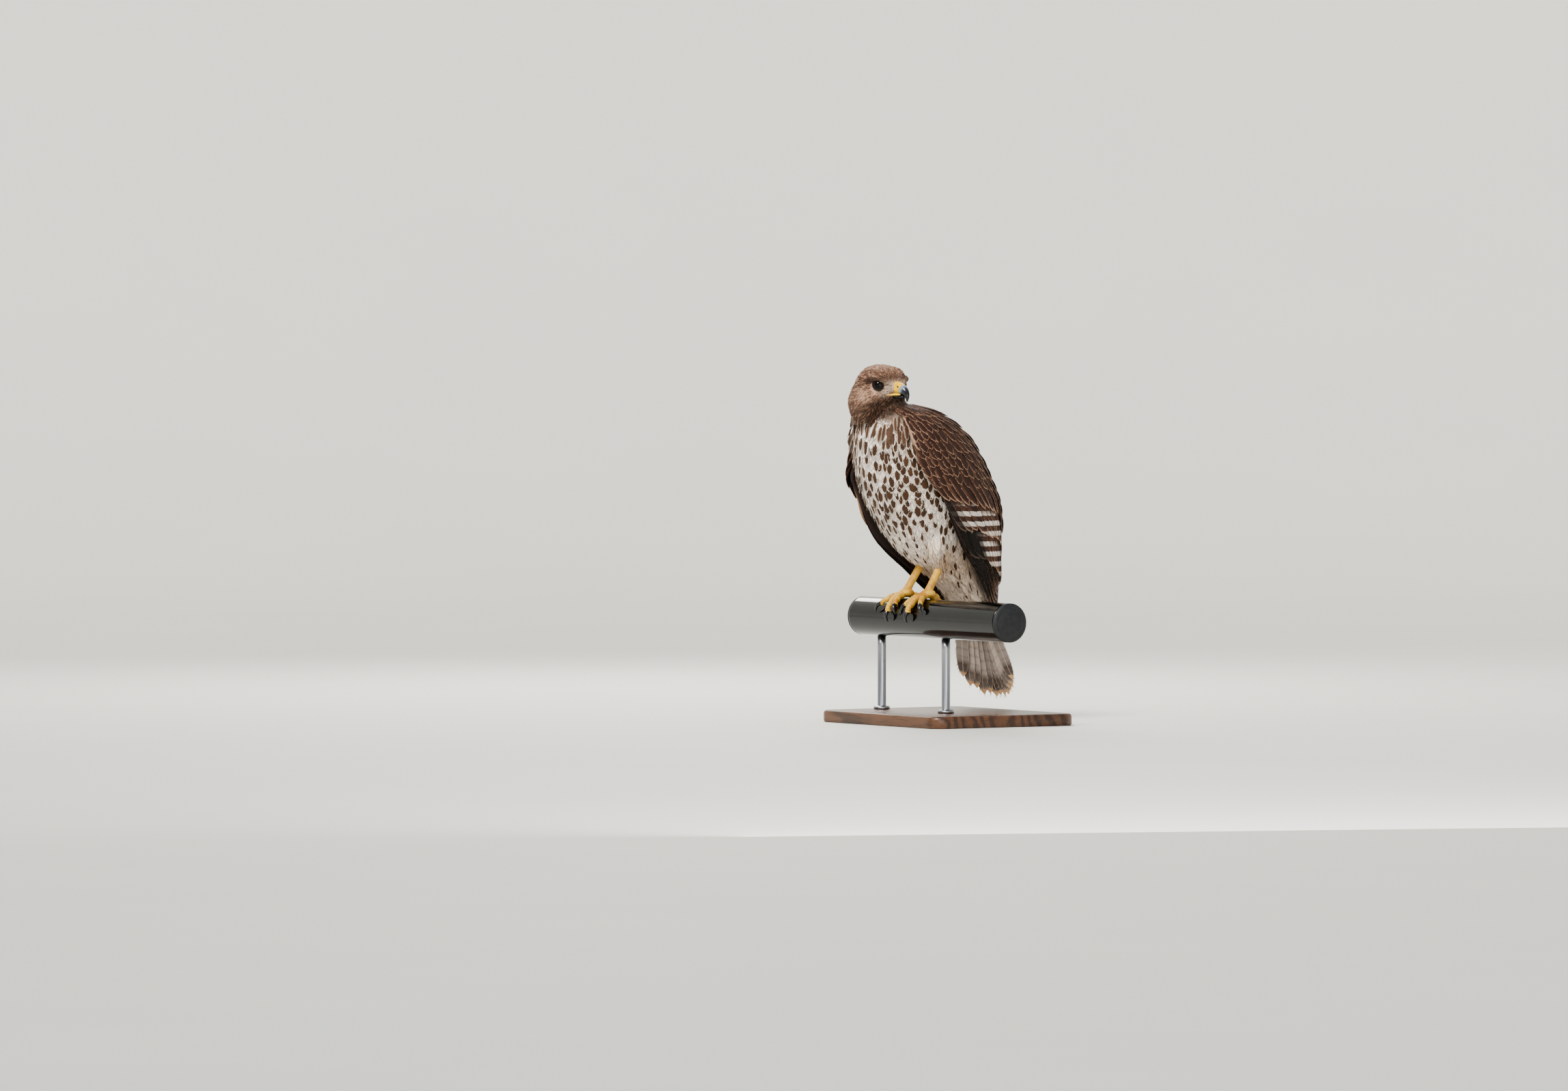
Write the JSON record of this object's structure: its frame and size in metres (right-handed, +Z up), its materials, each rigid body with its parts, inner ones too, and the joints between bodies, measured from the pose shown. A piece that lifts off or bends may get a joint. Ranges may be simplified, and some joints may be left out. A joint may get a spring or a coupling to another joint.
{
  "type": "red-shouldered hawk model",
  "caption": "Life-size model of a young hawk gripping a cut length of round rail on a plain display stand, its head turned to its left and its tail hanging behind.",
  "frame": {"origin": "centre of the stand base's underside", "axes": "+Z up, X along the perch rail with +X to the bird's left, -Y the side the bird's breast faces"},
  "size_m": [0.3156, 0.2269, 0.4169],
  "materials": {
    "plumage": "soft barred and streaked breast plumage",
    "head_plumage": "brown streaked head plumage",
    "wing_plumage": "dark brown feathers with pale edges and bars",
    "tail_plumage": "grey-brown barred tail feathers with pale tips",
    "leg_skin": "yellow scaled skin",
    "cere_skin": "smooth yellow waxy skin",
    "horn": "dark polished horn",
    "eye": "wet dark brown",
    "rail_paint": "gloss black paint",
    "plug_plastic": "moulded black",
    "base_wood": "satin dark walnut",
    "rod_steel": "brushed"
  },
  "bodies": {
    "root": {"head": "head_plumage", "cere": "cere_skin", "bill_upper": "horn", "bill_lower": "horn", "eye_left": "eye", "eye_right": "eye", "neck": "plumage", "torso": "plumage", "wing_left": "wing_plumage", "wing_right": "wing_plumage", "tail": "tail_plumage", "thigh_left": "plumage", "shank_left": "leg_skin", "foot_left": "leg_skin", "claw_left_inner": "horn", "claw_left_middle": "horn", "claw_left_outer": "horn", "claw_left_hind": "horn", "thigh_right": "plumage", "shank_right": "leg_skin", "foot_right": "leg_skin", "claw_right_inner": "horn", "claw_right_middle": "horn", "claw_right_outer": "horn", "claw_right_hind": "horn", "perch_rail": "rail_paint", "perch_plug_left": "plug_plastic", "perch_plug_right": "plug_plastic", "stand_base": "base_wood", "stand_rod_left": "rod_steel", "stand_rod_right": "rod_steel"}
  },
  "joints": []
}
